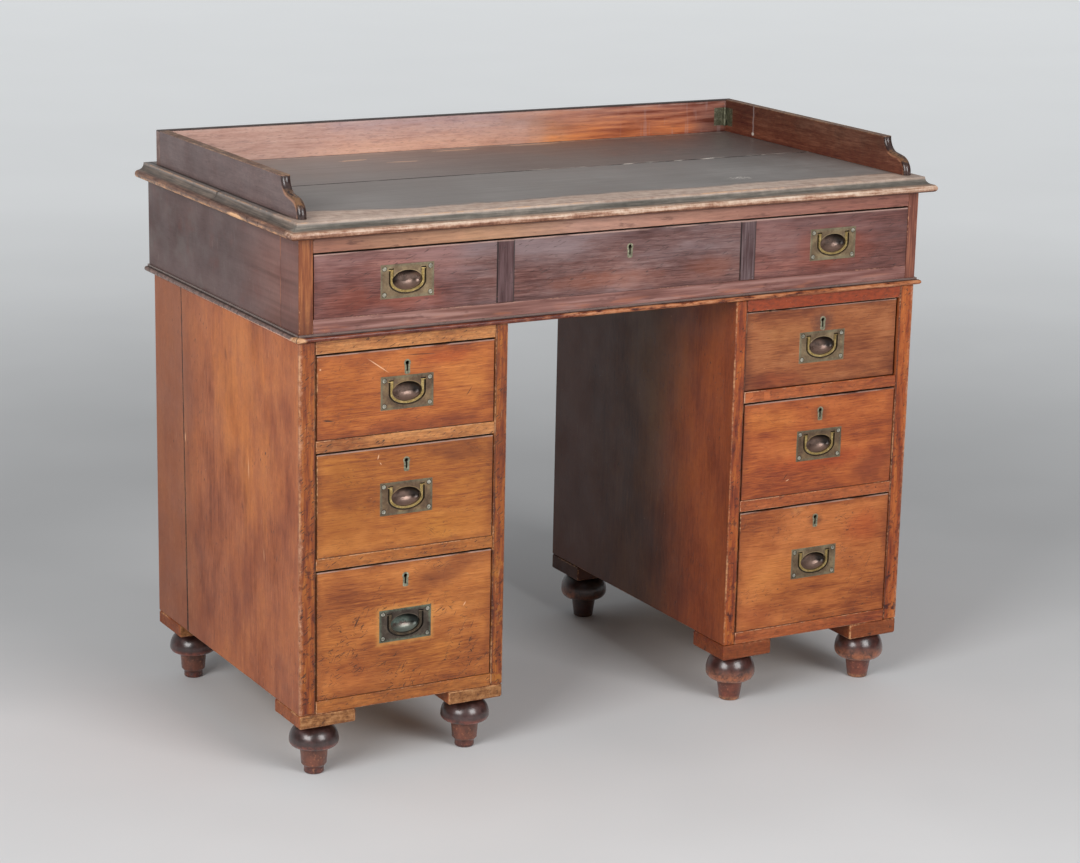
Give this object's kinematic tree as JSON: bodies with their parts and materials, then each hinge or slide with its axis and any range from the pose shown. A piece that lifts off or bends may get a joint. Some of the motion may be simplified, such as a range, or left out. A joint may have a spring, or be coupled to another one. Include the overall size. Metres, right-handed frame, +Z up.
{
  "type": "campaign desk",
  "caption": "Kneehole campaign desk in worn mahogany that comes apart: long frieze drawer, loose drawer pedestals on turned feet, flush brass handles and a folding gallery",
  "frame": {"origin": "on the floor, under the middle of the desk's box", "axes": "+X to the sitter's right along the desk, +Y from the drawer fronts to the back, +Z up"},
  "size_m": [1.049, 0.567, 0.842],
  "materials": {
    "front_mahogany": "waxed, worn and scratched, grain across the front",
    "pedestal_mahogany": "waxed mahogany, vertical grain, worn arrises",
    "frieze_mahogany": "dark streaky mahogany with a grey bloom",
    "rail_mahogany": "worn mahogany, pale on the edges",
    "end_mahogany": "dull dark mahogany",
    "writing_top": "faded grey-green, scuffed, pale along the front edge",
    "gallery_mahogany": "dark mahogany, worn top edges",
    "turned_mahogany": "dark polished turned mahogany",
    "block_mahogany": "worn mahogany blocks",
    "drawer_lining": "pale unfinished drawer linings",
    "inner_pine": "unfinished secondary wood",
    "back_board": "plain brown back boards",
    "flush_brass": "aged brass, brown and green in the corners",
    "bail_brass": "brighter rubbed brass",
    "hinge_brass": "dull aged brass",
    "lock_steel": "dull iron"
  },
  "bodies": {
    "left_pedestal": {"left_pedestal_sides": "pedestal_mahogany", "left_pedestal_back": "back_board", "left_pedestal_front_rails": "pedestal_mahogany", "left_pedestal_inner_boards": "inner_pine", "left_pedestal_corner_blocks": "block_mahogany", "left_pedestal_feet": "turned_mahogany"},
    "top_section": {"desk_top_boards": "writing_top", "top_end_panels": "end_mahogany", "top_back_panel": "back_board", "top_front_rails": "rail_mahogany", "top_base_moulding": "rail_mahogany", "top_runners": "inner_pine"},
    "right_pedestal": {"right_pedestal_sides": "pedestal_mahogany", "right_pedestal_back": "back_board", "right_pedestal_front_rails": "pedestal_mahogany", "right_pedestal_inner_boards": "inner_pine", "right_pedestal_corner_blocks": "block_mahogany", "right_pedestal_feet": "turned_mahogany"},
    "left_top_drawer": {"left_top_drawer_front": "front_mahogany", "left_top_drawer_box": "drawer_lining", "left_top_drawer_brass": "flush_brass"},
    "left_top_drawer_bail": {"left_top_drawer_bail": "bail_brass"},
    "left_top_drawer_lock_bolt": {"left_top_drawer_lock_bolt": "lock_steel"},
    "left_middle_drawer": {"left_middle_drawer_front": "front_mahogany", "left_middle_drawer_box": "drawer_lining", "left_middle_drawer_brass": "flush_brass"},
    "left_middle_drawer_bail": {"left_middle_drawer_bail": "bail_brass"},
    "left_middle_drawer_lock_bolt": {"left_middle_drawer_lock_bolt": "lock_steel"},
    "left_bottom_drawer": {"left_bottom_drawer_front": "front_mahogany", "left_bottom_drawer_box": "drawer_lining", "left_bottom_drawer_brass": "flush_brass"},
    "left_bottom_drawer_bail": {"left_bottom_drawer_bail": "bail_brass"},
    "left_bottom_drawer_lock_bolt": {"left_bottom_drawer_lock_bolt": "lock_steel"},
    "right_top_drawer": {"right_top_drawer_front": "front_mahogany", "right_top_drawer_box": "drawer_lining", "right_top_drawer_brass": "flush_brass"},
    "right_top_drawer_bail": {"right_top_drawer_bail": "bail_brass"},
    "right_top_drawer_lock_bolt": {"right_top_drawer_lock_bolt": "lock_steel"},
    "right_middle_drawer": {"right_middle_drawer_front": "front_mahogany", "right_middle_drawer_box": "drawer_lining", "right_middle_drawer_brass": "flush_brass"},
    "right_middle_drawer_bail": {"right_middle_drawer_bail": "bail_brass"},
    "right_middle_drawer_lock_bolt": {"right_middle_drawer_lock_bolt": "lock_steel"},
    "right_bottom_drawer": {"right_bottom_drawer_front": "front_mahogany", "right_bottom_drawer_box": "drawer_lining", "right_bottom_drawer_brass": "flush_brass"},
    "right_bottom_drawer_bail": {"right_bottom_drawer_bail": "bail_brass"},
    "right_bottom_drawer_lock_bolt": {"right_bottom_drawer_lock_bolt": "lock_steel"},
    "frieze_drawer": {"frieze_drawer_front": "frieze_mahogany", "frieze_drawer_box": "drawer_lining", "frieze_drawer_brass": "flush_brass"},
    "frieze_drawer_left_bail": {"frieze_drawer_left_bail": "bail_brass"},
    "frieze_drawer_right_bail": {"frieze_drawer_right_bail": "bail_brass"},
    "frieze_drawer_lock_bolt": {"frieze_drawer_lock_bolt": "lock_steel"},
    "gallery_back": {"gallery_back_board": "gallery_mahogany", "gallery_hinge_fixed_leaves": "hinge_brass"},
    "gallery_left": {"gallery_left_board": "gallery_mahogany", "gallery_hinge_left_leaf": "hinge_brass"},
    "gallery_right": {"gallery_right_board": "gallery_mahogany", "gallery_hinge_right_leaf": "hinge_brass"}
  },
  "joints": [
    {"name": "top_lift", "type": "slide", "parent": "left_pedestal", "child": "top_section", "axis": [0, 0, 1], "range_m": [0, 0.12]},
    {"name": "right_pedestal_stay", "type": "slide", "parent": "top_section", "child": "right_pedestal", "axis": [0, 0, -1], "range_m": [0, 0.12]},
    {"name": "left_top_drawer_slide", "type": "slide", "parent": "left_pedestal", "child": "left_top_drawer", "axis": [0, -1, 0], "range_m": [0, 0.34]},
    {"name": "left_top_drawer_bail_swing", "type": "hinge", "parent": "left_top_drawer", "child": "left_top_drawer_bail", "pos_m": [-0.344, -0.26325, 0.5607], "axis": [-1, 0, 0], "range_deg": [0, 90]},
    {"name": "left_top_drawer_lock_bolt_throw", "type": "slide", "parent": "left_top_drawer", "child": "left_top_drawer_lock_bolt", "axis": [0, 0, 1], "range_m": [0, 0.007]},
    {"name": "left_middle_drawer_slide", "type": "slide", "parent": "left_pedestal", "child": "left_middle_drawer", "axis": [0, -1, 0], "range_m": [0, 0.34]},
    {"name": "left_middle_drawer_bail_swing", "type": "hinge", "parent": "left_middle_drawer", "child": "left_middle_drawer_bail", "pos_m": [-0.344, -0.26325, 0.4112], "axis": [-1, 0, 0], "range_deg": [0, 90]},
    {"name": "left_middle_drawer_lock_bolt_throw", "type": "slide", "parent": "left_middle_drawer", "child": "left_middle_drawer_lock_bolt", "axis": [0, 0, 1], "range_m": [0, 0.007]},
    {"name": "left_bottom_drawer_slide", "type": "slide", "parent": "left_pedestal", "child": "left_bottom_drawer", "axis": [0, -1, 0], "range_m": [0, 0.34]},
    {"name": "left_bottom_drawer_bail_swing", "type": "hinge", "parent": "left_bottom_drawer", "child": "left_bottom_drawer_bail", "pos_m": [-0.344, -0.26325, 0.2277], "axis": [-1, 0, 0], "range_deg": [0, 90]},
    {"name": "left_bottom_drawer_lock_bolt_throw", "type": "slide", "parent": "left_bottom_drawer", "child": "left_bottom_drawer_lock_bolt", "axis": [0, 0, 1], "range_m": [0, 0.007]},
    {"name": "right_top_drawer_slide", "type": "slide", "parent": "right_pedestal", "child": "right_top_drawer", "axis": [0, -1, 0], "range_m": [0, 0.34]},
    {"name": "right_top_drawer_bail_swing", "type": "hinge", "parent": "right_top_drawer", "child": "right_top_drawer_bail", "pos_m": [0.344, -0.25925, 0.5607], "axis": [-1, 0, 0], "range_deg": [0, 90]},
    {"name": "right_top_drawer_lock_bolt_throw", "type": "slide", "parent": "right_top_drawer", "child": "right_top_drawer_lock_bolt", "axis": [0, 0, 1], "range_m": [0, 0.007]},
    {"name": "right_middle_drawer_slide", "type": "slide", "parent": "right_pedestal", "child": "right_middle_drawer", "axis": [0, -1, 0], "range_m": [0, 0.34]},
    {"name": "right_middle_drawer_bail_swing", "type": "hinge", "parent": "right_middle_drawer", "child": "right_middle_drawer_bail", "pos_m": [0.344, -0.26325, 0.4112], "axis": [-1, 0, 0], "range_deg": [0, 90]},
    {"name": "right_middle_drawer_lock_bolt_throw", "type": "slide", "parent": "right_middle_drawer", "child": "right_middle_drawer_lock_bolt", "axis": [0, 0, 1], "range_m": [0, 0.007]},
    {"name": "right_bottom_drawer_slide", "type": "slide", "parent": "right_pedestal", "child": "right_bottom_drawer", "axis": [0, -1, 0], "range_m": [0, 0.34]},
    {"name": "right_bottom_drawer_bail_swing", "type": "hinge", "parent": "right_bottom_drawer", "child": "right_bottom_drawer_bail", "pos_m": [0.344, -0.26325, 0.2277], "axis": [-1, 0, 0], "range_deg": [0, 90]},
    {"name": "right_bottom_drawer_lock_bolt_throw", "type": "slide", "parent": "right_bottom_drawer", "child": "right_bottom_drawer_lock_bolt", "axis": [0, 0, 1], "range_m": [0, 0.007]},
    {"name": "frieze_drawer_slide", "type": "slide", "parent": "top_section", "child": "frieze_drawer", "axis": [0, -1, 0], "range_m": [0, 0.36]},
    {"name": "frieze_drawer_left_bail_swing", "type": "hinge", "parent": "frieze_drawer", "child": "frieze_drawer_left_bail", "pos_m": [-0.345, -0.26325, 0.7152], "axis": [-1, 0, 0], "range_deg": [0, 90]},
    {"name": "frieze_drawer_right_bail_swing", "type": "hinge", "parent": "frieze_drawer", "child": "frieze_drawer_right_bail", "pos_m": [0.3525, -0.26325, 0.7152], "axis": [-1, 0, 0], "range_deg": [0, 90]},
    {"name": "frieze_drawer_lock_bolt_throw", "type": "slide", "parent": "frieze_drawer", "child": "frieze_drawer_lock_bolt", "axis": [0, 0, 1], "range_m": [0, 0.007]},
    {"name": "gallery_lift", "type": "slide", "parent": "top_section", "child": "gallery_back", "axis": [0, 0, 1], "range_m": [0, 0.08]},
    {"name": "gallery_left_fold", "type": "hinge", "parent": "gallery_back", "child": "gallery_left", "pos_m": [-0.4834, 0.2404, 0.815], "axis": [0, 0, 1], "range_deg": [0, 90]},
    {"name": "gallery_right_fold", "type": "hinge", "parent": "gallery_back", "child": "gallery_right", "pos_m": [0.4834, 0.2404, 0.815], "axis": [0, 0, -1], "range_deg": [0, 87.5]}
  ],
  "couplings": [
    {"joint": "right_pedestal_stay", "follows": "top_lift", "ratio": 1}
  ]
}
